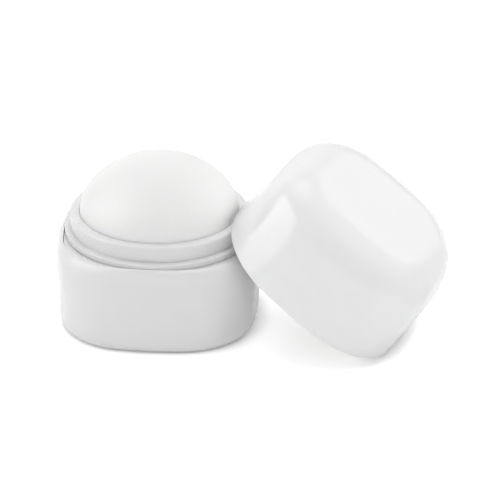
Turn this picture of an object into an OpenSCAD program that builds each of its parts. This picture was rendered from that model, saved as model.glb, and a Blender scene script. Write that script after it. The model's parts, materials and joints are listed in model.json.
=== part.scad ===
// A rounded-cube lip balm container: a base with a dome of balm in a round neck,
// and its cap, pulled off and leaning on the neck with one edge on the table.
// Millimetres, +Z up. The origin is the middle of the base's foot.

/* [Body] */
// Width of the closed container across two opposite sides
body_w = 38; // [36:0.5:46]
// Radius of the four upright corners
corner_r = 15; // [14:0.5:16.5]
// Lean of the side walls, inwards from the parting line, in degrees
draft = 2.5; // [0.5:0.25:4]

/* [Base shell] */
// Height of the base up to its rim
base_h = 17; // [15:0.5:24]
// Wall thickness of the base shell
base_wall = 1.4; // [1.1:0.1:1.7]
// Thickness of the base shell's floor
base_floor = 1.6; // [1:0.1:2.5]
// Round along the base's rim
rim_r = 1; // [0.4:0.1:1.2]
// Round along the base's foot
foot_r = 1.8; // [1:0.1:1.8]

/* [Shoulder collar] */
// Depth of the collar below the rim's crest
collar_drop = 0.3; // [0.1:0.05:0.6]
// Thickness of the collar's plate
collar_t = 1.4; // [1:0.1:2]
// Thickness of the collar's skirt
skirt_t = 1.1; // [0.8:0.1:1.4]
// Depth of the skirt below the plate
skirt_h = 5; // [3:0.5:7]

/* [Neck cup] */
// Height of the ledge ring
ledge_h = 1.1; // [0.6:0.1:1.6]
// Height of the neck wall above the ledge
neck_h = 3.1; // [2.5:0.1:5]
// Thickness of the neck wall
neck_wall = 1.8; // [1.4:0.1:2.4]
// Round along the neck's top edge
neck_edge_r = 0.6; // [0.3:0.05:0.8]
// Depth of the snap groove at the neck's foot
groove_d = 0.2; // [0.1:0.05:0.4]
// Height of the snap groove
groove_h = 0.8; // [0.6:0.1:1.2]
// Thickness of the cup's floor
cup_floor = 1.2; // [0.8:0.1:1.6]
// Radius of the hole in the cup's floor that takes the anchor's stem
stem_hole_r = 4; // [3:0.1:5]

/* [Balm] */
// Depth of the balm's root inside the cup
balm_root = 4.5; // [3.5:0.1:5]
// Depth of the balm's edge below the neck's top
balm_drop = 0.3; // [0.1:0.05:0.6]
// Share of the dome's height that the radius of its side arc takes
dome_side_share = 0.734; // [0.6:0.002:0.8]
// Gap that the balm's shrinkage leaves inside the neck
balm_shrink = 0.05; // [0.03:0.01:0.15]

/* [Balm anchor] */
// Radius of the anchor's perforated disc
anchor_r = 11.5; // [10:0.1:13]
// Thickness of the disc
anchor_t = 1.2; // [0.8:0.1:1.6]
// Number of holes through the disc
anchor_holes = 8; // [4:4:12]
// Radius of each hole
anchor_hole_r = 1.9; // [1.2:0.1:2.2]
// Height of the post above the disc
post_h = 8; // [5:0.5:9]
// Radius of the post
post_r = 1.8; // [1.4:0.1:2.4]
// Reach of the fins from the axis
fin_reach = 7; // [5:0.5:8]
// Thickness of the fins
fin_t = 1.2; // [0.8:0.1:1.6]

/* [Cap shell] */
// Height of the cap from its mouth to its closed end
cap_h = 18.5; // [17.5:0.5:21.5]
// Round along the cap's closed end
cap_round = 8; // [4:0.5:9]
// Round along the cap's lip
lip_r = 0.3; // [0.2:0.05:0.5]
// Wall thickness of the cap shell
cap_wall = 1.25; // [1:0.05:1.5]
// Thickness of the cap's closed end
cap_top = 1.6; // [1.2:0.1:2.4]

/* [Cap liner] */
// Wall thickness of the liner
liner_wall = 0.7; // [0.5:0.05:0.9]
// Thickness of the liner's flange
flange_t = 1; // [0.7:0.1:1.4]
// Air between the liner's dome and the cap's closed end
liner_air = 1.2; // [0.5:0.1:1.6]
// Air between the liner's dome and the balm when the cap is on
balm_air = 0.5; // [0.3:0.1:0.8]
// Clearance of the grip skirt round the neck
grip_gap = 0.15; // [0.08:0.01:0.2]

/* [Lean of the cap] */
// Share of the cap's mouth, from the lip on the table, at which the neck's edge stands
lean_share = 0.918; // [0.88:0.002:0.95]
// Turn of the leaning cap about the base's axis, in degrees
lean_turn = -13.8; // [-30:0.2:30]
// Offset of the cap sideways from the base's axis
lean_side = 2.7; // [0:0.1:4]
// Gap between the cap's mouth and the neck's edge that it leans on
lean_gap = 0.7; // [0.5:0.05:1.5]

/* [Hidden] */
$fn = 128;
quarter = 90;
// Clearance between mouldings that clip together
fit_gap = 0.1;
// Height that the cap's lip stands off the table
floor_gap = 0.02;
// How far a cutting shape runs past what it cuts
overrun = 1;
// Share of the corner radius by which the middle block reaches into the corners
core_share = 0.1;
// Clip beads: how far they stand out, and how tall they are
bead_d = 0.25;
bead_h = 0.8;
// Thickness of the stiffening ribs in the corners, and their foot's reach inside the walls
rib_t = 1.2;
rib_reach = 1.6;
// Small chamfer along the collar's and the flange's edges
chamfer = 0.15;
// Small round on the ledge ring's edge
ledge_edge_r = 0.25;
// How far the neck cup's plug runs below the collar's plate
plug_tail = 2.2;
// Depth of the anchor stem's clip below the cup's floor, and the height of the post's head
clip_h = 1.2;
head_h = 1;
// Radius of the post's head
head_r = post_r + fin_t;
// Share of the fins' reach that stands clear at their tops
fin_taper_share = 0.35;
// Share of the anchor disc's radius at which its holes lie
hole_ring_share = 0.68;

// Outline: four corner arcs, each tangent to the flat sides beside it
half_w = body_w / 2;
corner_c = half_w - corner_r;
core_half = corner_c + corner_r * core_share;
corner_reach = corner_c * sqrt(2) + corner_r;

// Levels of the base, from the foot up
collar_z = base_h - collar_drop;
ledge_z = collar_z + ledge_h;
neck_z = ledge_z + neck_h;
balm_z = neck_z - balm_drop;
cup_z = balm_z - balm_root;
skirt_z = collar_z - collar_t - skirt_h;

// Levels inside the cap, from its mouth
flange_z = ledge_z - base_h + groove_d;
grip_z = neck_z - base_h + groove_d;
dome_z = balm_z - base_h;
dome_h = cap_h - cap_top - liner_air - liner_wall - balm_air - dome_z;

// Radii from the cap's wall in: the liner's grip skirt, the neck, the cup and the balm
ledge_r = half_w - base_wall - fit_gap;
grip_r = half_w - cap_wall - (grip_z + liner_wall) * tan(draft) - fit_gap - liner_wall;
neck_r = grip_r - grip_gap;
cup_r = neck_r - neck_wall;
balm_r = cup_r - balm_shrink;
collar_hole_r = neck_r - groove_d - fit_gap;

// Arcs of the dome: the top arc is centred on the axis and tangent to the side arc
dome_side_r = dome_h * dome_side_share;
side_arc_x = balm_r - dome_side_r;
dome_top_r = (pow(side_arc_x, 2) + pow(dome_h, 2) - pow(dome_side_r, 2)) / (2 * (dome_h - dome_side_r));

// Tilt and place of the leaning cap
lean_tilt = asin(neck_z / (body_w * lean_share));
lip_z = (half_w + edge_u(lip_r)) * sin(lean_tilt) - lip_r * cos(lean_tilt) + lip_r + floor_gap;
lean_foot = neck_r + (lean_gap + cos(lean_tilt) * neck_z) / sin(lean_tilt);
lean_x = lean_foot - half_w * cos(lean_tilt);

// Place of a round's centre, outwards of the outline, at the parting edge
function edge_u(r) = -r * (1 + sin(draft)) / cos(draft);
// Place of a round's centre, outwards of the outline, at the closed end of a half of height h
function end_u(h, r) = -(r + (h - r) * sin(draft)) / cos(draft);

// The part of a disc that lies outside the chord from a to b
module bulge(centre, r, a, b) {
    out = (a + b) / 2 - centre;
    intersection() {
        translate(centre) circle(r = r);
        polygon([a, a + out, b + out, b]);
    }
}

// Section of one half of the container, from its parting edge at 0 to its closed end at h.
// X is the distance outwards of the outline.
module half_section(h, edge_r, end_r) {
    lean = [cos(draft), sin(draft)];
    edge_c = [edge_u(edge_r), edge_r];
    end_c = [end_u(h, end_r), h - end_r];
    polygon([
        [-corner_r, 0], [edge_c.x, 0], edge_c + edge_r * lean,
        end_c + end_r * lean, [end_c.x, h], [-corner_r, h]
    ]);
    bulge(edge_c, edge_r, [edge_c.x, 0], edge_c + edge_r * lean);
    bulge(end_c, end_r, end_c + end_r * lean, [end_c.x, h]);
}

// Section of the hollow inside a half: its wall follows the draft at the given thickness
module hollow_section(h, wall, end_r) {
    lean = [cos(draft), sin(draft)];
    end_c = [end_u(h, end_r) - wall, h - end_r];
    polygon([
        [-corner_r - overrun, -overrun], [overrun * tan(draft) - wall, -overrun],
        end_c + end_r * lean, [end_c.x, h], [-corner_r - overrun, h]
    ]);
    bulge(end_c, end_r, end_c + end_r * lean, [end_c.x, h]);
}

// Carries a section round the corners only
module round_corners() {
    for (k = [0:3])
        rotate([0, 0, quarter * k]) translate([corner_c, corner_c, 0])
            rotate_extrude(angle = quarter) translate([corner_r, 0]) children();
}

// Carries a section round the whole outline
module round_outline() {
    round_corners() children();
    for (k = [0:3])
        rotate([0, 0, quarter * k]) translate([half_w, corner_c, 0]) rotate([quarter, 0, 0])
            linear_extrude(2 * corner_c) children();
}

// The middle of a plate, which the carried sections leave open
module core(z, t) {
    translate([-core_half, -core_half, z]) cube([2 * core_half, 2 * core_half, t]);
}

// Four upright ribs in the corners, from the given reach out into the walls
module corner_ribs(z, t, from, to) {
    for (k = [0:3])
        rotate([0, 0, quarter * (k + 1 / 2)]) translate([from, -rib_t / 2, z]) cube([to - from, rib_t, t]);
}

// Half a section of the dome of balm, grown outwards by g, with its straight foot carried down by drop
module dome_section(g, drop) {
    side_p = [side_arc_x, 0];
    top_p = [0, dome_h - dome_top_r];
    meet = top_p + (dome_top_r + g) * (side_p - top_p) / norm(side_p - top_p);
    polygon([[0, -drop], [balm_r + g, -drop], [balm_r + g, 0], meet, [0, dome_h + g]]);
    bulge(side_p, dome_side_r + g, [balm_r + g, 0], meet);
    bulge(top_p, dome_top_r + g, meet, [0, dome_h + g]);
}

// Outer rounded-square cup of the base
module base_shell() color("white") {
    groove_z = skirt_z + skirt_h / 2;
    inner_u = -base_wall - (base_h - groove_z) * tan(draft);
    difference() {
        union() {
            round_outline() translate([0, base_h]) mirror([0, 1]) difference() {
                half_section(base_h, rim_r, foot_r);
                hollow_section(base_h - base_floor, base_wall, foot_r / 2);
            }
            core(0, base_floor);
            corner_ribs(base_floor - fit_gap, skirt_z - base_floor + fit_gap,
                corner_reach - base_wall - skirt_t - rib_reach, corner_reach - base_wall);
        }
        round_corners() translate([inner_u - overrun, groove_z]) square([overrun + bead_d, bead_h]);
    }
}

// Flat collar inside the shell's rim, with a skirt that clips into the shell
module shoulder_collar() color("white") {
    top_u = -base_wall - fit_gap;
    low_u = top_u - (collar_z - skirt_z) * tan(draft);
    bead_z = skirt_z + skirt_h / 2 + fit_gap;
    bead_u = -base_wall - (base_h - bead_z) * tan(draft);
    difference() {
        union() {
            round_outline() polygon([
                [-corner_r, collar_z - collar_t], [low_u - skirt_t, collar_z - collar_t],
                [low_u - skirt_t, skirt_z], [low_u, skirt_z], [top_u, collar_z - chamfer],
                [top_u - chamfer, collar_z], [-corner_r, collar_z]
            ]);
            core(collar_z - collar_t, collar_t);
            round_corners() translate([low_u - skirt_t / 2, bead_z])
                square([bead_u - low_u + skirt_t / 2 + bead_d - fit_gap, bead_h - 2 * fit_gap]);
        }
        translate([0, 0, skirt_z]) cylinder(r = collar_hole_r, h = collar_z - skirt_z + overrun);
        translate([0, 0, skirt_z - overrun])
            cylinder(r = collar_hole_r + bead_d, h = collar_z - collar_t - skirt_z + overrun);
    }
}

// Round cup with a ledge ring and a neck wall
module neck_cup() color("white") {
    plug_r = collar_hole_r - fit_gap;
    ledge_c = [ledge_r - ledge_edge_r, ledge_z - ledge_edge_r];
    neck_c = [neck_r - neck_edge_r, neck_z - neck_edge_r];
    under_z = collar_z - collar_t - fit_gap;
    rotate_extrude() {
        polygon([
            [stem_hole_r, cup_z - cup_floor], [cup_r, cup_z - cup_floor],
            [cup_r, under_z - plug_tail], [plug_r, under_z - plug_tail], [plug_r, under_z - bead_h],
            [plug_r + bead_d, under_z - bead_h / 2], [plug_r + bead_d, under_z], [plug_r, under_z],
            [plug_r, collar_z], [ledge_r, collar_z], [ledge_r, ledge_c.y], [ledge_c.x, ledge_z],
            [neck_r - groove_d, ledge_z], [neck_r - groove_d, ledge_z + groove_h - groove_d],
            [neck_r, ledge_z + groove_h], [neck_r, neck_c.y], [neck_c.x, neck_z], [cup_r + chamfer, neck_z],
            [cup_r, neck_z - chamfer], [cup_r, cup_z], [stem_hole_r, cup_z]
        ]);
        bulge(ledge_c, ledge_edge_r, [ledge_r, ledge_c.y], [ledge_c.x, ledge_z]);
        bulge(neck_c, neck_edge_r, [neck_r, neck_c.y], [neck_c.x, neck_z]);
    }
}

// The anchor's perforated disc, carried down below the cup's floor by drop
module anchor_disc(drop) {
    difference() {
        translate([0, 0, cup_z - drop]) cylinder(r = anchor_r, h = anchor_t + drop);
        for (k = [0:anchor_holes - 1])
            rotate([0, 0, 2 * quarter / anchor_holes * (2 * k + 1)])
                translate([anchor_r * hole_ring_share, 0, cup_z - drop - overrun])
                    cylinder(r = anchor_hole_r, h = anchor_t + drop + 2 * overrun);
    }
}

// Perforated disc with a stem, a post and fins that the balm is cast round
module balm_anchor() color("whitesmoke") {
    stem_r = stem_hole_r - fit_gap;
    disc_z = cup_z + anchor_t;
    fin_low = disc_z - anchor_t / 2;
    fin_top = disc_z + post_h - head_h;
    fin_top_x = fin_reach * (1 - fin_taper_share);
    anchor_disc(0);
    rotate_extrude() polygon([
        [0, cup_z - cup_floor - clip_h], [stem_r - bead_d, cup_z - cup_floor - clip_h],
        [stem_r + bead_d, cup_z - cup_floor - fit_gap], [stem_r, cup_z - cup_floor - fit_gap],
        [stem_r, fin_low], [post_r, fin_low],
        [post_r, disc_z + post_h], [head_r, disc_z + post_h], [head_r, disc_z + post_h + head_h],
        [0, disc_z + post_h + head_h]
    ]);
    for (k = [0, 1])
        rotate([quarter, 0, quarter * k]) translate([0, 0, -fin_t / 2]) linear_extrude(fin_t) polygon([
            [-fin_reach, fin_low], [fin_reach, fin_low], [fin_top_x, fin_top], [-fin_top_x, fin_top]
        ]);
}

// The cast balm: a dome on a short round root, keyed round the anchor
module balm() color("ivory") {
    difference() {
        translate([0, 0, balm_z]) rotate_extrude() dome_section(0, balm_root);
        balm_anchor();
        anchor_disc(overrun);
    }
}

// Stands the cap as it leans: its mouth on the neck's edge, its lip on the table
module leaning() {
    rotate([0, 0, lean_turn]) translate([lean_x, lean_side, lip_z]) rotate([0, lean_tilt, 0]) children();
}

// Outer rounded-square cap
module cap_shell() color("white") leaning() {
    bead_u = -cap_wall - flange_z * tan(draft) - bead_d;
    bead_top = flange_z - fit_gap / 2;
    round_outline() difference() {
        half_section(cap_h, lip_r, cap_round);
        hollow_section(cap_h - cap_top, cap_wall, cap_round - cap_wall);
    }
    core(cap_h - cap_top, cap_top);
    round_corners() polygon([
        [-cap_wall / 2, bead_top - bead_h + lip_r / 2], [bead_u + bead_d, bead_top - bead_h + lip_r / 2],
        [bead_u, bead_top - bead_h / 2], [bead_u, bead_top], [-cap_wall / 2, bead_top]
    ]);
    corner_ribs(flange_z + flange_t, cap_h - cap_round - flange_z - flange_t,
        grip_r + liner_wall + fit_gap, corner_reach - cap_wall);
}

// Round inner cup of the cap, with a flange that fills the cap's square mouth
module cap_liner() color("white") leaning() {
    flange_u = -cap_wall - fit_gap - (flange_z + flange_t) * tan(draft);
    difference() {
        union() {
            round_outline() translate([-corner_r, flange_z]) square([corner_r + flange_u, flange_t]);
            core(flange_z, flange_t);
            translate([0, 0, flange_z])
                cylinder(r = grip_r + liner_wall, h = grip_z - flange_z + liner_wall);
            translate([0, 0, dome_z]) rotate_extrude() dome_section(liner_wall + balm_air, overrun);
        }
        translate([0, 0, dome_z]) rotate_extrude() dome_section(balm_air, overrun);
        rotate_extrude() polygon([
            [0, flange_z - overrun], [grip_r + chamfer, flange_z - overrun], [grip_r + chamfer, flange_z],
            [grip_r - grip_gap - bead_d / 2, flange_z + bead_h / 2], [grip_r, flange_z + bead_h],
            [grip_r, grip_z], [0, grip_z]
        ]);
    }
}

base_shell();
shoulder_collar();
neck_cup();
balm_anchor();
balm();
cap_shell();
cap_liner();
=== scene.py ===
# %% [markdown]
# # A rounded-cube lip balm container, with its cap leaning on it
#
# The container is moulded in white plastic. A square base holds a round neck, a dome of balm stands in
# the neck, and the square cap has been pulled off and leans on it. Everything is nearly the same white,
# so the picture is made by form, gloss and light alone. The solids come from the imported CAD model, and
# this script gives each of them its finished surface, its material and its light.

import json
from math import cos, pi, radians, sin, sqrt, tan

import bpy
import numpy as np
from mathutils import Matrix, Vector


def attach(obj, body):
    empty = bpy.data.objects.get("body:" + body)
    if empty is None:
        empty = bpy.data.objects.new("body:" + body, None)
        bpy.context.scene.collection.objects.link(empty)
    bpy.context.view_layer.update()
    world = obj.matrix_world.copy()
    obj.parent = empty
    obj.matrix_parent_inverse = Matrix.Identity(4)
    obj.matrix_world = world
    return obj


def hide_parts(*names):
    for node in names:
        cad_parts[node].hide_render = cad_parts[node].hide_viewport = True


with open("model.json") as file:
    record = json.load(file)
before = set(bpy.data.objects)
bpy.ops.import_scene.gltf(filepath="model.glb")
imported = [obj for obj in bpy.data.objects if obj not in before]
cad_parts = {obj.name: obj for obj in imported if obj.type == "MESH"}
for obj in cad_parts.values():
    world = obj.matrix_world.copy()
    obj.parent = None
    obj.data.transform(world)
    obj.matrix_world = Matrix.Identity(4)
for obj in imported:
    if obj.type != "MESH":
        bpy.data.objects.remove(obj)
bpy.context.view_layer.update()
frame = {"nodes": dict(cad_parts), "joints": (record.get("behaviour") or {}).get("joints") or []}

# %% [markdown]
# ## Camera
#
# The photograph was taken from a little above with a long lens, because the upright edges of the base
# stay parallel. The camera is placed by three facts read from the photograph: how far it looks down,
# how far the container is turned in front of it, and the pixel and distance of the middle of the foot.

# %% Camera
IMAGE_SIZE = 500
SENSOR = 36.0
FOCAL_PIXELS = 5000.0
LOOK_DOWN = radians(25.88)
TURN = radians(4.25)
FOOT_PIXEL = (160.14, 310.27)
FOOT_DEPTH = 0.93387


def camera_axes():
    """Right, up and forward of a camera that looks along +Y, turned about Z and then tipped down."""
    turn = Matrix.Rotation(TURN, 3, "Z")
    right = turn @ Vector((1, 0, 0))
    up = turn @ Vector((0, sin(LOOK_DOWN), cos(LOOK_DOWN)))
    forward = turn @ Vector((0, cos(LOOK_DOWN), -sin(LOOK_DOWN)))
    return right, up, forward


right, up, forward = camera_axes()
foot_across = (FOOT_PIXEL[0] - IMAGE_SIZE / 2) / FOCAL_PIXELS
foot_down = (FOOT_PIXEL[1] - IMAGE_SIZE / 2) / FOCAL_PIXELS
camera_data = bpy.data.cameras.new("camera")
camera_data.sensor_width = SENSOR
camera_data.lens = FOCAL_PIXELS * SENSOR / IMAGE_SIZE
camera = bpy.data.objects.new("camera", camera_data)
camera.location = -FOOT_DEPTH * (forward + foot_across * right - foot_down * up)
camera.rotation_euler = Matrix((right, up, -forward)).transposed().to_euler()
bpy.context.scene.collection.objects.link(camera)
bpy.context.scene.camera = camera
print("camera at", [round(v, 3) for v in camera.location], "lens", camera_data.lens)

# %% [markdown]
# ## The container's sizes
#
# The driving sizes are the ones that the part was made with, in millimetres. Everything else is worked
# out from them, so a piece drawn here lands on the solid that it stands for.

# %% Driving sizes
MM = 0.001
HALF_WIDTH = 19.0
DRAFT = radians(2.5)
BASE_HEIGHT = 17.0
RIM_ROUND = 1.25
FOOT_ROUND = 1.8
BASE_WALL = 1.4
BASE_FLOOR = 1.6
COLLAR_DROP = 0.3
COLLAR_THICKNESS = 1.4
LEDGE_HEIGHT = 1.1
NECK_HEIGHT = 3.1
NECK_WALL = 1.8
GROOVE_DEPTH = 0.2
BALM_ROOT = 4.5
BALM_DROP = 0.3
BALM_SHRINK = 0.05
DOME_SIDE_ROUND = 8.0
CAP_HEIGHT = 18.5
CAP_ROUND = 8.0
CAP_WALL = 1.25
CAP_TOP = 1.6
LIP_ROUND = 0.3
LINER_WALL = 0.7
LINER_AIR = 1.2
BALM_AIR = 0.5
GRIP_GAP = 0.15
FLANGE_THICKNESS = 1.0
FIT_GAP = 0.1

collar_z = BASE_HEIGHT - COLLAR_DROP
ledge_z = collar_z + LEDGE_HEIGHT
neck_z = ledge_z + NECK_HEIGHT
balm_z = neck_z - BALM_DROP
cup_z = balm_z - BALM_ROOT
flange_z = ledge_z - BASE_HEIGHT + GROOVE_DEPTH
grip_z = neck_z - BASE_HEIGHT + GROOVE_DEPTH
dome_z = balm_z - BASE_HEIGHT
ledge_r = HALF_WIDTH - BASE_WALL - FIT_GAP
grip_r = HALF_WIDTH - CAP_WALL - (grip_z + LINER_WALL) * tan(DRAFT) - FIT_GAP - LINER_WALL
neck_r = grip_r - GRIP_GAP
cup_r = neck_r - NECK_WALL
balm_r = cup_r - BALM_SHRINK
dome_h = CAP_HEIGHT - CAP_TOP - LINER_AIR - LINER_WALL - BALM_AIR - dome_z
print("neck radius", round(neck_r, 2), "balm radius", round(balm_r, 2), "dome height", round(dome_h, 2))

# %% [markdown]
# ## The rounded-square outline
#
# Seen from above, the container isn't a square with rounded corners: its sides swell a little, so light
# slides round it without a stop. The outline is eight arcs, four tight ones for the corners and four
# wide ones for the sides. Two neighbouring arcs share a tangent where the line through both centres
# crosses them, and that is what fixes where the corner centres go.

# %% Outline of eight arcs
CORNER_ROUND = 14.0
SIDE_ROUND = 60.0
CORNER_STEPS = 40
SIDE_STEPS = 16

side_centre = HALF_WIDTH - SIDE_ROUND
corner_centre = (side_centre + sqrt(2 * (SIDE_ROUND - CORNER_ROUND) ** 2 - side_centre ** 2)) / 2
side_angle = np.arctan2(corner_centre, corner_centre - side_centre)


def outline():
    """Points and outward normals of the outline, once round.

    A point on an arc is centre + radius * (cos a, sin a), and its normal is (cos a, sin a). One side arc
    and one corner arc make a quarter, which is turned by 90 degrees three times.
    """
    side = np.linspace(-side_angle, side_angle, SIDE_STEPS, endpoint=False)
    corner = np.linspace(side_angle, np.pi / 2 - side_angle, CORNER_STEPS, endpoint=False)
    angle = np.concatenate([side, corner])
    centre = np.zeros((len(angle), 2))
    centre[:SIDE_STEPS] = [side_centre, 0]
    centre[SIDE_STEPS:] = corner_centre
    radius = np.where(np.arange(len(angle)) < SIDE_STEPS, SIDE_ROUND, CORNER_ROUND)
    normal = np.stack([np.cos(angle), np.sin(angle)], axis=1)
    point = centre + radius[:, None] * normal
    quarter_turn = np.array([[0, 1], [-1, 0]])
    points, normals = [point], [normal]
    for _ in range(3):
        points.append(points[-1] @ quarter_turn)
        normals.append(normals[-1] @ quarter_turn)
    return np.concatenate(points), np.concatenate(normals)


ring_points, ring_normals = outline()
corner_reach = np.hypot(*ring_points.T).max()
print("outline points", len(ring_points), "diagonal half", round(corner_reach, 2), "mm")

# %% [markdown]
# ## Profiles
#
# Every piece is a profile carried round an outline. A profile is a list of points: its first number is
# how far out the point lies, its second is how high. Rounds are true arcs with enough points to stay
# smooth in a highlight, and a crisp edge gets a very small round, because no moulded edge is perfectly
# sharp and a sharp one never catches the light.

# %% Profile helpers
ROUND_STEPS = 20
LIP_STEPS = 16
EDGE_STEPS = 5
print("points in a round", ROUND_STEPS, "in a lip", LIP_STEPS, "in a small edge", EDGE_STEPS)


def arc(centre, radius, start, end, steps=ROUND_STEPS):
    """Points centre + radius * (cos a, sin a) while a goes from start to end, both in degrees."""
    a = np.radians(np.linspace(start, end, steps))
    return np.stack([centre[0] + radius * np.cos(a), centre[1] + radius * np.sin(a)], axis=1)


def rounded(corners, radii, steps=EDGE_STEPS):
    """An open polyline whose inner corners become small arcs.

    Each corner is cut back by radius / tan(half the corner's angle) along both edges, and the cut is
    bridged by the curve (1-t)^2 a + 2 t (1-t) corner + t^2 b, which leaves both edges smoothly.
    """
    corners = np.asarray(corners, float)
    out = [corners[:1]]
    for before, here, after, radius in zip(corners, corners[1:], corners[2:], radii):
        back, ahead = before - here, after - here
        back_len, ahead_len = np.hypot(*back), np.hypot(*ahead)
        half = np.arccos(np.clip(back @ ahead / back_len / ahead_len, -1, 1)) / 2
        cut = min(radius / np.tan(half), back_len / 2, ahead_len / 2)
        a, b = here + back / back_len * cut, here + ahead / ahead_len * cut
        t = np.linspace(0, 1, steps)[:, None]
        out.append((1 - t) ** 2 * a + 2 * t * (1 - t) * here + t ** 2 * b)
    out.append(corners[-1:])
    return np.concatenate(out)


def end_round(height, wall, radius):
    """The arc that joins a drafted wall to the closed end of a half of that height.

    The wall runs through (-wall, 0) and leans in by the draft. The arc's centre lies one radius inside
    both the wall and the closed end.
    """
    out = -(radius + (height - radius) * sin(DRAFT)) / cos(DRAFT) - wall
    return arc((out, height - radius), radius, np.degrees(DRAFT), 90)


def lip_round(reach, drop, steps=LIP_STEPS):
    """The quarter of an ellipse between the parting face at height 0 and the drafted wall.

    Its points are (out + reach * cos a, drop + drop * sin a). It meets the wall without a kink where
    tan a = drop / reach * tan(draft), and out is what puts that point on the wall.
    """
    end = np.arctan2(drop * tan(DRAFT), reach)
    out = -reach * cos(end) - drop * (1 + sin(end)) * tan(DRAFT)
    a = np.linspace(-pi / 2, end, steps)
    return np.stack([out + reach * np.cos(a), drop + drop * np.sin(a)], axis=1)


# %% [markdown]
# ## Carrying a profile round
#
# A square piece takes its points from the outline, moved outwards along the normals. Far inside, where
# the outline has shrunk to its middle, the ring is scaled instead, down to one shared point at the pole,
# so that a floor or a top closes without a hole. A round piece is the same thing on a circle.

# %% Carrying a profile round an outline
INNER_LIMIT = -9.0
ROUND_PIECE_STEPS = 192
print("points round a square piece", len(ring_points), "and round a turned one", ROUND_PIECE_STEPS)


def square_rings(profile):
    """Grid of points (profile, outline, 3) for a profile of (distance outside the outline, height).

    Above the inner limit a point is outline + normal * distance. Below it, the ring at the inner limit
    is scaled by the share of the way that is left to the middle, which lies one half width inside.
    """
    distance, height = profile[:, 0], profile[:, 1]
    moved = np.maximum(distance, INNER_LIMIT)
    share = np.clip((distance + HALF_WIDTH) / (INNER_LIMIT + HALF_WIDTH), 0, 1)
    flat = (ring_points[None] + moved[:, None, None] * ring_normals[None]) * share[:, None, None]
    tall = np.broadcast_to(height[:, None, None], flat.shape[:2] + (1,))
    return np.concatenate([flat, tall], axis=2)


def round_rings(profile):
    """Grid of points (profile, circle, 3) for a profile of (radius, height)."""
    a = np.linspace(0, 2 * np.pi, ROUND_PIECE_STEPS, endpoint=False)
    circle = np.stack([np.cos(a), np.sin(a)], axis=1)
    flat = profile[:, None, :1] * circle[None]
    tall = np.broadcast_to(profile[:, None, 1:], flat.shape[:2] + (1,))
    return np.concatenate([flat, tall], axis=2)


def closed_mesh(name, grid, loop):
    """Mesh of a grid of rings. The grid closes round each ring. It closes from the last ring to the first
    too where loop is true, and otherwise its first and last rings are single points, the poles."""
    rows, columns = grid.shape[:2]
    index = np.arange(rows * columns).reshape(rows, columns)
    if not loop:
        index[0] = index[0, 0]
        index[-1] = index[-1, 0]
    below = index
    above = np.roll(index, -1, axis=0)
    if not loop:
        below, above = below[:-1], above[:-1]
    quads = np.stack([below, np.roll(below, -1, axis=1), np.roll(above, -1, axis=1), above], axis=-1)
    used, flat = np.unique(quads, return_inverse=True)
    quads = flat.reshape(-1, 4)
    mesh = bpy.data.meshes.new(name)
    faces = [tuple(dict.fromkeys(q)) for q in quads.tolist()]
    mesh.from_pydata((grid.reshape(-1, 3)[used] * MM).tolist(), [], [f for f in faces if len(f) > 2])
    mesh.polygons.foreach_set("use_smooth", np.ones(len(mesh.polygons), bool))
    mesh.update()
    return mesh


def volume(mesh):
    """Signed volume in cubic mm: a sixth of the sum of p0 . (p1 x p2) over the triangles."""
    mesh.calc_loop_triangles()
    place = np.empty(len(mesh.vertices) * 3)
    mesh.vertices.foreach_get("co", place)
    corner = np.empty(len(mesh.loop_triangles) * 3, int)
    mesh.loop_triangles.foreach_get("vertices", corner)
    p = place.reshape(-1, 3)[corner.reshape(-1, 3)]
    return np.einsum("ij,ij->i", p[:, 0], np.cross(p[:, 1], p[:, 2])).sum() / 6 / MM ** 3


def piece(name, grid, body, node, loop=False, place=Matrix.Identity(4)):
    """Makes a piece from a grid, puts it where it belongs, and lets it stand for its CAD node."""
    mesh = closed_mesh(name, grid, loop)
    if volume(mesh) < 0:
        mesh.flip_normals()
    mesh.transform(place)
    obj = bpy.data.objects.new(name, mesh)
    bpy.context.scene.collection.objects.link(obj)
    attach(obj, body)
    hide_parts(node)
    print(name, "faces", len(mesh.polygons), "volume", round(volume(mesh)), "cubic mm")
    return obj


# %% [markdown]
# ## Base shell
#
# The shell is a square cup. Its outside leans in towards the foot by the draft that lets it leave its
# mould, with a round at the foot. Along the rim the wall turns in slowly and then quickly, as a quarter of
# a tall ellipse: in the photograph the highlight there is bright on top and fades over 3 mm. The profile
# starts at the middle of the foot, goes up the outside, over the rim, down the inside and back to the
# middle of the floor, so one grid makes the closed cup.

# %% Base shell
RIM_DROP = 2.8
BASE_INNER_EDGE = 0.12


def standing(profile, height):
    """Turns a profile drawn from its parting face upside down, so that the parting face is on top."""
    return np.stack([profile[:, 0], height - profile[:, 1]], axis=1)[::-1]


def base_shell_profile():
    """Outside from the foot to the rim, then the inside from the rim to the floor."""
    outside = np.concatenate([lip_round(RIM_ROUND, RIM_DROP), end_round(BASE_HEIGHT, 0, FOOT_ROUND)])
    inside = end_round(BASE_HEIGHT - BASE_FLOOR, BASE_WALL, FOOT_ROUND / 2)
    inner_edge = rounded([(outside[0, 0], 0), (-BASE_WALL, 0), inside[0]], [BASE_INNER_EDGE])
    inside = np.concatenate([inner_edge[1:-1], inside])
    middle_out = [(-HALF_WIDTH, 0)]
    return np.concatenate([
        middle_out, standing(outside, BASE_HEIGHT),
        standing(inside, BASE_HEIGHT)[::-1], [(-HALF_WIDTH, BASE_FLOOR)]])


base_grid = square_rings(base_shell_profile())
base_shell = piece("base_shell_skin", base_grid, "base", "base_shell")

# %% [markdown]
# ## Shoulder collar
#
# The flat collar closes the shell between its square rim and the round neck, and a skirt below it clips
# into the shell. Its outer edge follows the square and its inner edge is a circle. Each point of the
# square ring is joined to the circle's point at the same angle, so no separate cut is needed for the hole.

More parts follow.
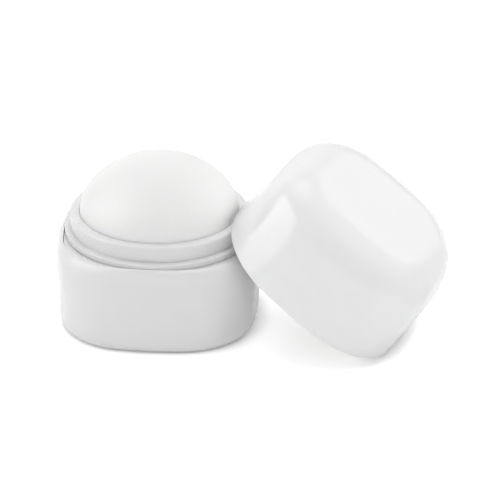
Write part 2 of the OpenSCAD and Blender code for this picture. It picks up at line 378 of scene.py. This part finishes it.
# %% Shoulder collar
COLLAR_EDGE = 0.15
SKIRT_EDGE = 0.1
SKIRT_HEIGHT = 5.0
SKIRT_THICKNESS = 1.1


def collar_grid():
    """Closed loop of rings: down inside the skirt, round its foot, up its outside, across, down the hole.

    Points at the same place along the square rings and the circles share one angle, so the plate between
    them is a fan of straight strips.
    """
    hole = neck_r - GROOVE_DEPTH - FIT_GAP
    low = collar_z - COLLAR_THICKNESS - SKIRT_HEIGHT
    shift = (collar_z - low) * tan(DRAFT)
    edge = -BASE_WALL - FIT_GAP
    inner = edge - SKIRT_THICKNESS - shift
    corners = [(inner, collar_z - COLLAR_THICKNESS), (inner, low), (edge - shift, low), (edge, collar_z),
               (edge - 2 * COLLAR_EDGE, collar_z)]
    square = rounded(corners, [SKIRT_EDGE, SKIRT_EDGE, COLLAR_EDGE])
    rings = square_rings(square)
    angle = np.arctan2(ring_points[:, 1], ring_points[:, 0])
    circle = np.stack([np.cos(angle), np.sin(angle)], axis=1) * hole
    bottom = np.concatenate([circle, np.full((len(circle), 1), collar_z - COLLAR_THICKNESS)], axis=1)
    top = np.concatenate([circle, np.full((len(circle), 1), collar_z)], axis=1)
    return np.concatenate([rings, top[None], bottom[None]])


collar = piece("shoulder_collar_skin", collar_grid(), "base", "shoulder_collar", loop=True)

# %% [markdown]
# ## Neck cup
#
# The neck is one turned form: a ledge that the cap's liner comes down on, and a wall with a slight belly
# that the liner's bead snaps under. In the photograph the wall darkens steadily from its rounded top edge
# down to the ledge, and that is how the belly shows. Each small edge has its own round.

# %% Neck cup
LEDGE_ROUND = 0.25
NECK_ROUND = 0.6
SMALL_ROUND = 0.1
BELLY_DROP = 0.9
BELLY_ROUND = 7.0
NECK_STEPS = 9
PLUG_TAIL = 2.2
CUP_FLOOR = 1.2
STEM_HOLE = 4.0


def neck_profile():
    """Closed section of the cup, as (radius, height).

    The neck's wall is an arc centred at (neck radius - belly round, belly height), from the ledge up to
    the belly. Above the belly it stands upright as far as the top edge's round.
    """
    plug_r = neck_r - GROOVE_DEPTH - 2 * FIT_GAP
    tail = collar_z - COLLAR_THICKNESS - FIT_GAP - PLUG_TAIL
    belly_z = neck_z - BELLY_DROP
    low = -np.degrees(np.arcsin((belly_z - ledge_z) / BELLY_ROUND))
    belly = arc((neck_r - BELLY_ROUND, belly_z), BELLY_ROUND, low, 0)
    below = [(STEM_HOLE, cup_z - CUP_FLOOR), (cup_r, cup_z - CUP_FLOOR), (cup_r, tail), (plug_r, tail),
             (plug_r, collar_z), (ledge_r, collar_z), (ledge_r, ledge_z), belly[0]]
    above = [belly[-1], (neck_r, neck_z), (cup_r, neck_z), (cup_r, cup_z), (STEM_HOLE, cup_z)]
    below = rounded(below, [SMALL_ROUND] * (len(below) - 3) + [LEDGE_ROUND], NECK_STEPS)
    above = rounded(above, [NECK_ROUND, SMALL_ROUND, SMALL_ROUND], NECK_STEPS)
    return np.concatenate([below, belly[1:-1], above])


neck = piece("neck_cup_skin", round_rings(neck_profile()), "base", "neck_cup", loop=True)

# %% [markdown]
# ## Balm
#
# The balm is cast upside down in a smooth mould, so its dome is an even curve of two arcs: a tighter one
# near the neck and a wide one over the top. A casting isn't perfect, though. Its surface swells and dips
# by hundredths of a millimetre where it cooled unevenly, and that is what softens its highlight.

# %% Balm
DOME_STEPS = 60
ROOT_EDGE = 0.2
BALM_SWELL = 0.03
SWELL_X, SWELL_X_START = 0.31, 1.1
SWELL_Y, SWELL_Y_START = 0.27, -0.4
SWELL_ACROSS, SWELL_UP, SWELL_SHARE = 0.23, 0.35, 0.6
TOP_FADE = 3
TINY = 1e-9


def dome_arcs(grow, steps=DOME_STEPS):
    """The dome's section from its foot to its top, grown outwards, as (radius, height over the foot).

    The side arc is centred at (balm radius - side round, 0). The top arc is centred on the axis, as high
    as makes it tangent to the side arc and reach the dome's height.
    """
    side_x = balm_r - DOME_SIDE_ROUND
    top_r = (side_x ** 2 + dome_h ** 2 - DOME_SIDE_ROUND ** 2) / (2 * (dome_h - DOME_SIDE_ROUND))
    meet = np.degrees(np.arctan2(top_r - dome_h, side_x))
    side = arc((side_x, 0), DOME_SIDE_ROUND + grow, 0, meet, steps // 2)
    top = arc((0, dome_h - top_r), top_r + grow, meet, 90, steps // 2)
    return np.concatenate([side, top[1:]])


def balm_grid():
    """The root and the dome as one closed form, with slow swells added along the radius of the dome.

    The swell is sin(a x + b) * cos(c y + d), plus a share of sin(e (x - y) + f z), and it fades out at
    the dome's foot and at its top.
    """
    dome = dome_arcs(0) + [0, balm_z]
    root = rounded([(0, cup_z), (balm_r, cup_z), (balm_r, balm_z)], [ROOT_EDGE])
    profile = np.concatenate([root, dome[1:]])
    grid = round_rings(profile)
    x, y, z = np.moveaxis(grid, 2, 0)
    swell = np.sin(SWELL_X * x + SWELL_X_START) * np.cos(SWELL_Y * y + SWELL_Y_START)
    swell = swell + SWELL_SHARE * np.sin(SWELL_ACROSS * (x - y) + SWELL_UP * z)
    foot_fade = np.clip((z - balm_z) / dome_h, 0, 1)
    top_fade = np.clip((balm_z + dome_h - z) / dome_h * TOP_FADE, 0, 1)
    reach = np.linalg.norm(grid - [0, 0, balm_z], axis=2) + TINY
    away = (grid - [0, 0, balm_z]) / reach[..., None]
    return grid + away * (BALM_SWELL * swell * foot_fade * top_fade)[..., None]


balm = piece("balm_casting", balm_grid(), "base", "balm")

# %% [markdown]
# ## Where the cap leans
#
# The cap is drawn upright, with its mouth at height 0, and is then stood where the CAD puts it. That
# place is worked out from the cap's joint, whose axis is the cap's own: its tilt and turn come from the
# axis, and the rest from the cap's lip standing on the table and its mouth leaning on the neck's edge.

# %% Where the cap leans
LEAN_SIDE = 2.7
LEAN_GAP = 0.7
FLOOR_GAP = 0.02

cap_axis = Vector(next(j["axis"] for j in frame["joints"] if j["name"] == "cap_lift"))
tilt = np.arccos(cap_axis.z)
turn = np.arctan2(cap_axis.y, cap_axis.x)


def lean_matrix():
    """Turn about the base's axis, then the move out to the cap's place, then the tilt."""
    lip = (HALF_WIDTH - LIP_ROUND * (1 + sin(DRAFT)) / cos(DRAFT)) * sin(tilt)
    height = lip - LIP_ROUND * cos(tilt) + LIP_ROUND + FLOOR_GAP
    foot = neck_r + (LEAN_GAP + cos(tilt) * neck_z) / sin(tilt)
    out = Matrix.Translation(Vector((foot - HALF_WIDTH * cos(tilt), LEAN_SIDE, height)) * MM)
    return Matrix.Rotation(turn, 4, "Z") @ out @ Matrix.Rotation(tilt, 4, "Y")


lean = lean_matrix()
print("cap's mouth centre in mm:", [round(v / MM, 2) for v in lean.translation])

# %% [markdown]
# ## Cap shell
#
# The cap is the glossiest piece and the biggest mirror in the picture: its large rounded end shows the
# soft boxes that lit it. A highlight shows every flaw in curvature, so the round is one true arc that
# leaves the wall and the flat end without a kink.

# %% Cap shell
TOP_STEPS = 16
CEILING_STEPS = 10
CAP_INNER_EDGE = 0.1


def cap_shell_profile():
    """Outside from the middle of the closed end down to the lip, then the inside back up."""
    outside = np.concatenate([lip_round(LIP_ROUND, LIP_ROUND), end_round(CAP_HEIGHT, 0, CAP_ROUND)])
    inside = end_round(CAP_HEIGHT - CAP_TOP, CAP_WALL, CAP_ROUND - CAP_WALL)
    inner_edge = rounded([(outside[0, 0], 0), (-CAP_WALL, 0), inside[0]], [CAP_INNER_EDGE])
    inside = np.concatenate([inner_edge[1:-1], inside])
    top = np.linspace([-HALF_WIDTH, CAP_HEIGHT], outside[-1], TOP_STEPS)[:-1]
    ceiling = np.linspace([-HALF_WIDTH, CAP_HEIGHT - CAP_TOP], inside[-1], CEILING_STEPS)[:-1]
    return np.concatenate([top, outside[::-1], inside, ceiling[::-1]])


cap_grid = square_rings(cap_shell_profile())
cap_shell = piece("cap_shell_skin", cap_grid, "cap", "cap_shell", place=lean)

# %% [markdown]
# ## Cap liner
#
# Inside the cap sits a thin round cup that keeps the balm's dome clean and grips the neck. Its flange
# fills the cap's square mouth. It is hidden in the photograph but seen from below and behind, so it gets
# the same care: a square flange, a round skirt with its bead, and a dome that follows the balm.

# %% Cap liner
BEAD = 0.125
BEAD_HEIGHT = 0.8
STEP_ROUND = 0.3
FLANGE_ROUND = 0.12


def liner_grid():
    """Closed form from the outer pole of the dome, down the outside, along the flange, and up the inside.

    The flange's outer edge is the square ring, and every other ring is a circle with as many points.
    """
    angle = np.arctan2(ring_points[:, 1], ring_points[:, 0])
    circle = np.stack([np.cos(angle), np.sin(angle)], axis=1)

    def turned(profile):
        flat = profile[:, None, :1] * circle[None]
        return np.concatenate([flat, np.broadcast_to(profile[:, None, 1:], flat.shape[:2] + (1,))], axis=2)

    outer_dome = (dome_arcs(LINER_WALL + BALM_AIR) + [0, dome_z])[::-1]
    skirt_r = grip_r + LINER_WALL
    step = grip_z + LINER_WALL
    flange_top = flange_z + FLANGE_THICKNESS
    above = outer_dome[outer_dome[:, 1] > step + STEP_ROUND]
    outside = [above[-1], (above[-1, 0], step), (skirt_r, step), (skirt_r, flange_top)]
    outside = rounded(outside, [STEP_ROUND, STEP_ROUND])
    edge = -CAP_WALL - FIT_GAP - flange_top * tan(DRAFT)
    inner = edge - 2 * FLANGE_ROUND
    flange = rounded([(inner, flange_top), (edge, flange_top), (edge, flange_z), (inner, flange_z)],
                     [FLANGE_ROUND, FLANGE_ROUND])
    bead_r = grip_r - GRIP_GAP - BEAD
    inner_dome = dome_arcs(BALM_AIR) + [0, dome_z]
    inner_dome = inner_dome[inner_dome[:, 1] > grip_z + STEP_ROUND]
    inside = [(grip_r + BEAD, flange_z), (bead_r, flange_z + BEAD_HEIGHT / 2),
              (grip_r, flange_z + BEAD_HEIGHT), (grip_r, grip_z),
              (inner_dome[0, 0], grip_z), inner_dome[0]]
    inside = rounded(inside, [FLANGE_ROUND] * (len(inside) - 2))
    return np.concatenate([
        turned(np.concatenate([above, outside[1:]])), square_rings(flange),
        turned(np.concatenate([inside, inner_dome[1:]]))])


liner = piece("cap_liner_skin", liner_grid(), "cap", "cap_liner", place=lean)

# %% [markdown]
# ## Shared effect: moulded surface
#
# Polished plastic is never perfectly smooth. A slow waviness bends long highlights, and a much finer
# grain breaks their edges. Both are the same on every moulded piece, only stronger or weaker, so they
# are one node group with its strengths as inputs. It puts out a height for a Bump node and a mask for the
# colour and the roughness, and leaves the shader itself in each material.

# %% Moulded surface group
WAVE_SCALE, WAVE_DETAIL = 120.0, 1.0
GRAIN_SCALE, GRAIN_DETAIL = 4000.0, 3.0
USUAL_WAVE, USUAL_GRAIN = 0.5, 0.2


def moulded_surface_group():
    """Height = wave * slow noise + grain * fine noise. Mask = slow noise * fine noise, between 0 and 1."""
    group = bpy.data.node_groups.new("moulded_surface", "ShaderNodeTree")
    face = group.interface
    face.new_socket("Vector", in_out="INPUT", socket_type="NodeSocketVector")
    for name, value in (("Wave scale", WAVE_SCALE), ("Wave", USUAL_WAVE),
                        ("Grain scale", GRAIN_SCALE), ("Grain", USUAL_GRAIN)):
        socket = face.new_socket(name, in_out="INPUT", socket_type="NodeSocketFloat")
        socket.default_value = value
    face.new_socket("Height", in_out="OUTPUT", socket_type="NodeSocketFloat")
    face.new_socket("Mask", in_out="OUTPUT", socket_type="NodeSocketFloat")
    nodes, links = group.nodes, group.links
    entry, leave = nodes.new("NodeGroupInput"), nodes.new("NodeGroupOutput")

    def noise(scale, detail):
        n = nodes.new("ShaderNodeTexNoise")
        n.inputs["Detail"].default_value = detail
        links.new(entry.outputs["Vector"], n.inputs["Vector"])
        links.new(entry.outputs[scale], n.inputs["Scale"])
        return n.outputs["Fac"]

    def maths(operation, a, b):
        n = nodes.new("ShaderNodeMath")
        n.operation = operation
        links.new(a, n.inputs[0])
        links.new(b, n.inputs[1])
        return n.outputs[0]

    slow, fine = noise("Wave scale", WAVE_DETAIL), noise("Grain scale", GRAIN_DETAIL)
    waves = maths("MULTIPLY", slow, entry.outputs["Wave"])
    grains = maths("MULTIPLY", fine, entry.outputs["Grain"])
    links.new(maths("ADD", waves, grains), leave.inputs["Height"])
    links.new(maths("MULTIPLY", slow, fine), leave.inputs["Mask"])
    return group


moulded_surface = moulded_surface_group()
print("group", moulded_surface.name, "sockets", [s.name for s in moulded_surface.interface.items_tree])

# %% [markdown]
# ## Material helper
#
# Every finish is made the same way. The moulded surface's mask runs between two values, and across them
# the colour darkens by two in a hundred and the gloss goes from its sharpest to its dullest. The height
# goes into a Bump node. What is even all over, such as how light scatters inside, sits on the shader.

# %% Material helper
MASK_LOW = 0.1
MASK_HIGH = 0.45
MOTTLE = 0.98
print("the mask runs from", MASK_LOW, "to", MASK_HIGH)


def finish(name, colour, rough, wave, grain, bump_distance, sockets):
    """A Principled material whose colour, roughness and bump come from the moulded surface group.

    Its roughness runs between the two numbers of rough, and its colour from colour to a little darker.
    """
    material = bpy.data.materials.new(name)
    material.use_nodes = True
    nodes, links = material.node_tree.nodes, material.node_tree.links
    shader = nodes["Principled BSDF"]
    for key, value in sockets.items():
        shader.inputs[key].default_value = value
    where = nodes.new("ShaderNodeTexCoord")
    effect = nodes.new("ShaderNodeGroup")
    effect.node_tree = moulded_surface
    effect.inputs["Wave"].default_value = wave
    effect.inputs["Grain"].default_value = grain
    links.new(where.outputs["Object"], effect.inputs["Vector"])
    tone = nodes.new("ShaderNodeValToRGB")
    thin, thick = tone.color_ramp.elements
    thin.position, thick.position = MASK_LOW, MASK_HIGH
    thin.color = (*colour, 1)
    thick.color = (*(MOTTLE * c for c in colour), 1)
    links.new(effect.outputs["Mask"], tone.inputs["Fac"])
    links.new(tone.outputs["Color"], shader.inputs["Base Color"])
    spread = nodes.new("ShaderNodeMapRange")
    spread.inputs["From Min"].default_value = MASK_LOW
    spread.inputs["From Max"].default_value = MASK_HIGH
    spread.inputs["To Min"].default_value, spread.inputs["To Max"].default_value = rough
    links.new(effect.outputs["Mask"], spread.inputs["Value"])
    links.new(spread.outputs["Result"], shader.inputs["Roughness"])
    bump = nodes.new("ShaderNodeBump")
    bump.inputs["Distance"].default_value = bump_distance
    links.new(effect.outputs["Height"], bump.inputs["Height"])
    links.new(bump.outputs["Normal"], shader.inputs["Normal"])
    return material


# %% [markdown]
# ## The five finishes
#
# All five finishes are white, and they differ in gloss and depth. The base has a soft sheen and the cap is
# polished to a mirror. The neck and collar are a touch duller, and the hidden pieces are plain natural
# plastic. The balm is wax: light goes in, scatters and comes out again, so its shading is soft.

# %% The five finishes
MOULDED = {"IOR": 1.5, "Subsurface Weight": 0.15, "Subsurface Radius": (1, 1, 1), "Subsurface Scale": 0.001}
NATURAL = {"IOR": 1.5, "Subsurface Weight": 0.3, "Subsurface Radius": (1, 1, 0.9), "Subsurface Scale": 0.002}
WAX = {"IOR": 1.44, "Subsurface Weight": 0.6, "Subsurface Radius": (1, 0.95, 0.85),
       "Subsurface Scale": 0.0015}

shell_white = finish("shell_white", colour=(0.82, 0.82, 0.823), rough=(0.14, 0.2), wave=0.5, grain=0.05,
                     bump_distance=0.00002, sockets=MOULDED)
cap_white = finish("cap_white", colour=(0.895, 0.895, 0.9), rough=(0.02, 0.05), wave=0.3, grain=0.002,
                   bump_distance=0.00002, sockets=MOULDED)
collar_white = finish("collar_white", colour=(0.79, 0.79, 0.79), rough=(0.22, 0.3), wave=0.5, grain=0.03,
                      bump_distance=0.00002, sockets=MOULDED)
inner_natural = finish("inner_natural", colour=(0.8, 0.8, 0.79), rough=(0.45, 0.6), wave=0.5, grain=0.2,
                       bump_distance=0.00003, sockets=NATURAL)
balm_wax = finish("balm_wax", colour=(0.885, 0.885, 0.88), rough=(0.34, 0.5), wave=0.6, grain=0.12,
                  bump_distance=0.00004, sockets=WAX)

for obj, material in ((base_shell, shell_white), (cap_shell, cap_white), (collar, collar_white),
                      (neck, collar_white), (liner, inner_natural), (balm, balm_wax)):
    obj.data.materials.append(material)
anchor = frame["nodes"]["balm_anchor"]
for slot in anchor.material_slots:
    slot.material = inner_natural
print("materials", sorted(m.name for m in bpy.data.materials if m.users))

# %% [markdown]
# ## Floor
#
# The container stands on white seamless paper, overexposed as in the photograph. For the camera the
# paper's colour is raised, and for the camera and in reflections it also glows a little, so nearly all of
# it is plain white. Diffuse rays see neither, so neither puts light on the container. Such paper would
# lose the narrow contact shadow too, so within a few millimetres of a contact a shadow is painted back
# into its colour and glow by an ambient occlusion node.

# %% Floor
FLOOR_HALF = 1.2
PAPER_WHITE = 0.92
PAPER_SEEN = 1.6
PAPER_LIFT = 0.2
CONTACT_REACH = 0.003
CONTACT_SHADE = 0.5
CONTACT_SAMPLES = 16


def floor_material():
    """White paper, brighter for the camera than for the light that it passes on to the container.

    Camera rays see the paper's own colour raised, and camera, gloss and glass rays all see the glow. Both
    are times shade + (1 - shade) * openness, where openness falls from 1 to 0 as a contact comes near, so a
    contact shadow is painted into them.
    """
    material = bpy.data.materials.new("paper")
    material.use_nodes = True
    nodes, links = material.node_tree.nodes, material.node_tree.links
    nodes.clear()
    out = nodes.new("ShaderNodeOutputMaterial")
    paper = nodes.new("ShaderNodeBsdfDiffuse")
    glow = nodes.new("ShaderNodeEmission")
    rays = nodes.new("ShaderNodeLightPath")
    white = nodes.new("ShaderNodeMapRange")
    white.inputs["To Min"].default_value = PAPER_WHITE
    # Painted contact shadow: ambient occlusion within a few millimetres darkens the paper's colour and glow.
    near = nodes.new("ShaderNodeAmbientOcclusion")
    near.samples = CONTACT_SAMPLES
    near.inputs["Distance"].default_value = CONTACT_REACH
    contact = nodes.new("ShaderNodeMapRange")
    contact.inputs["To Min"].default_value = CONTACT_SHADE
    links.new(near.outputs["AO"], contact.inputs["Value"])
    bright = nodes.new("ShaderNodeMath")
    bright.operation = "MULTIPLY"
    bright.inputs[1].default_value = PAPER_SEEN
    links.new(contact.outputs["Result"], bright.inputs[0])
    links.new(bright.outputs[0], white.inputs["To Max"])
    links.new(rays.outputs["Is Camera Ray"], white.inputs["Value"])
    links.new(white.outputs["Result"], paper.inputs["Color"])
    seen = rays.outputs["Is Camera Ray"]
    for kind in ("Is Glossy Ray", "Is Transmission Ray"):
        either = nodes.new("ShaderNodeMath")
        either.operation = "MAXIMUM"
        links.new(seen, either.inputs[0])
        links.new(rays.outputs[kind], either.inputs[1])
        seen = either.outputs[0]
    strength = nodes.new("ShaderNodeMath")
    strength.operation = "MULTIPLY"
    strength.inputs[1].default_value = PAPER_LIFT
    links.new(seen, strength.inputs[0])
    links.new(strength.outputs[0], glow.inputs["Strength"])
    links.new(contact.outputs["Result"], glow.inputs["Color"])
    both = nodes.new("ShaderNodeAddShader")
    links.new(paper.outputs[0], both.inputs[0])
    links.new(glow.outputs[0], both.inputs[1])
    links.new(both.outputs[0], out.inputs["Surface"])
    return material


floor_mesh = bpy.data.meshes.new("floor")
floor_corners = [(x * FLOOR_HALF, y * FLOOR_HALF, 0) for x, y in ((-1, -1), (1, -1), (1, 1), (-1, 1))]
floor_mesh.from_pydata(floor_corners, [], [(0, 1, 2, 3)])
floor_mesh.materials.append(floor_material())
floor = bpy.data.objects.new("floor", floor_mesh)
bpy.context.scene.collection.objects.link(floor)
print("floor", 2 * FLOOR_HALF, "m across")

# %% [markdown]
# ## Light
#
# The glossy cap is a mirror of the studio, and each lamp stands where its image in the photograph puts it.
# The left box makes the bright slanted square on the cap's front, the right box fills its end, the top box
# makes the round spot near the upper rim, and a low card in front ends the dark band under that end. The
# left box, the backdrop and the card only show in gloss. Five fills, which the gloss doesn't show, light
# the rest: from the left, the front, over the neck, behind and above. Nothing strong stands over the
# camera, so the front of the base stays the darkest.

# %% Light
LIGHT_TARGET = Vector((0.012, 0, 0.018))


def soft_box(name, azimuth, elevation, distance, size, radiance, roll=0, glossy=True, diffuse=True):
    """A rectangular lamp with the brightness that a mirror would show, aimed at the object.

    Azimuth 0 is over the camera and grows towards the right. A flat lamp whose face has the same
    radiance in every direction gives off radiance * pi * area watts.
    """
    lamp = bpy.data.lights.new(name, "AREA")
    lamp.shape = "RECTANGLE"
    lamp.size, lamp.size_y = size
    lamp.energy = radiance * pi * size[0] * size[1]
    obj = bpy.data.objects.new(name, lamp)
    a, e, r = radians(azimuth) + TURN, radians(elevation), radians(roll)
    away = Vector((sin(a) * cos(e), -cos(a) * cos(e), sin(e)))
    side = Vector((cos(a), sin(a), 0))
    rise = away.cross(side)
    axes = Matrix((side * cos(r) + rise * sin(r), rise * cos(r) - side * sin(r), away))
    obj.location = LIGHT_TARGET + away * distance
    obj.rotation_euler = axes.transposed().to_euler()
    obj.visible_camera = False
    obj.visible_glossy = glossy
    obj.visible_diffuse = diffuse
    bpy.context.scene.collection.objects.link(obj)
    print(name, "watts", round(lamp.energy, 2))
    return obj


soft_box("left_box", azimuth=-79.7, elevation=28, distance=0.6, size=(0.604, 0.74), radiance=2.3,
         diffuse=False)
soft_box("right_box", azimuth=107.1, elevation=41.5, distance=0.6, size=(0.882, 1.468), radiance=0.56)
soft_box("top_box", azimuth=180, elevation=65, distance=0.6, size=(0.34, 0.34), radiance=1.1)
soft_box("backdrop", azimuth=180, elevation=15, distance=1.0, size=(2.4, 0.9), radiance=0.6,
         diffuse=False)
soft_box("front_card", azimuth=-10.1, elevation=-6, distance=0.54, size=(0.9, 0.4), radiance=0.9,
         roll=-26, diffuse=False)
soft_box("left_fill", azimuth=-100, elevation=8, distance=0.8, size=(0.5, 0.5), radiance=4.2,
         glossy=False)
soft_box("front_fill", azimuth=16, elevation=12, distance=0.8, size=(0.5, 0.5), radiance=2.85,
         glossy=False)
soft_box("neck_fill", azimuth=-25, elevation=42, distance=0.8, size=(0.5, 0.5), radiance=1.1,
         glossy=False)
soft_box("back_fill", azimuth=180, elevation=15, distance=1.0, size=(2.4, 0.9), radiance=2.1,
         glossy=False)
soft_box("over_fill", azimuth=0, elevation=88, distance=0.8, size=(0.7, 0.7), radiance=1.75,
         glossy=False)

# %% [markdown]
# ## Room
#
# Past the paper's edge the camera sees plain white. In gloss the room is dim: the dark band on the cap is
# the mirror image of the space between the lamps.

# %% Room
ROOM_STRENGTH = 0.03
WHITE_STRENGTH = 1.0


def studio_world():
    """White for the camera's rays, also through glass, and a dim room for every other ray."""
    world = bpy.data.worlds.new("studio")
    world.use_nodes = True
    nodes, links = world.node_tree.nodes, world.node_tree.links
    rays = nodes.new("ShaderNodeLightPath")
    seen = nodes.new("ShaderNodeMath")
    seen.operation = "MAXIMUM"
    links.new(rays.outputs["Is Camera Ray"], seen.inputs[0])
    links.new(rays.outputs["Is Transmission Ray"], seen.inputs[1])
    strength = nodes.new("ShaderNodeMapRange")
    strength.inputs["To Min"].default_value = ROOM_STRENGTH
    strength.inputs["To Max"].default_value = WHITE_STRENGTH
    links.new(seen.outputs[0], strength.inputs["Value"])
    background = nodes["Background"]
    background.inputs["Color"].default_value = (1, 1, 1, 1)
    links.new(strength.outputs["Result"], background.inputs["Strength"])
    return world


bpy.context.scene.world = studio_world()
print("room strength", ROOM_STRENGTH)

# %% [markdown]
#
# The view transform is plain, so that a colour shows as it is written.

# %% Finish
bpy.context.scene.view_settings.view_transform = "Standard"
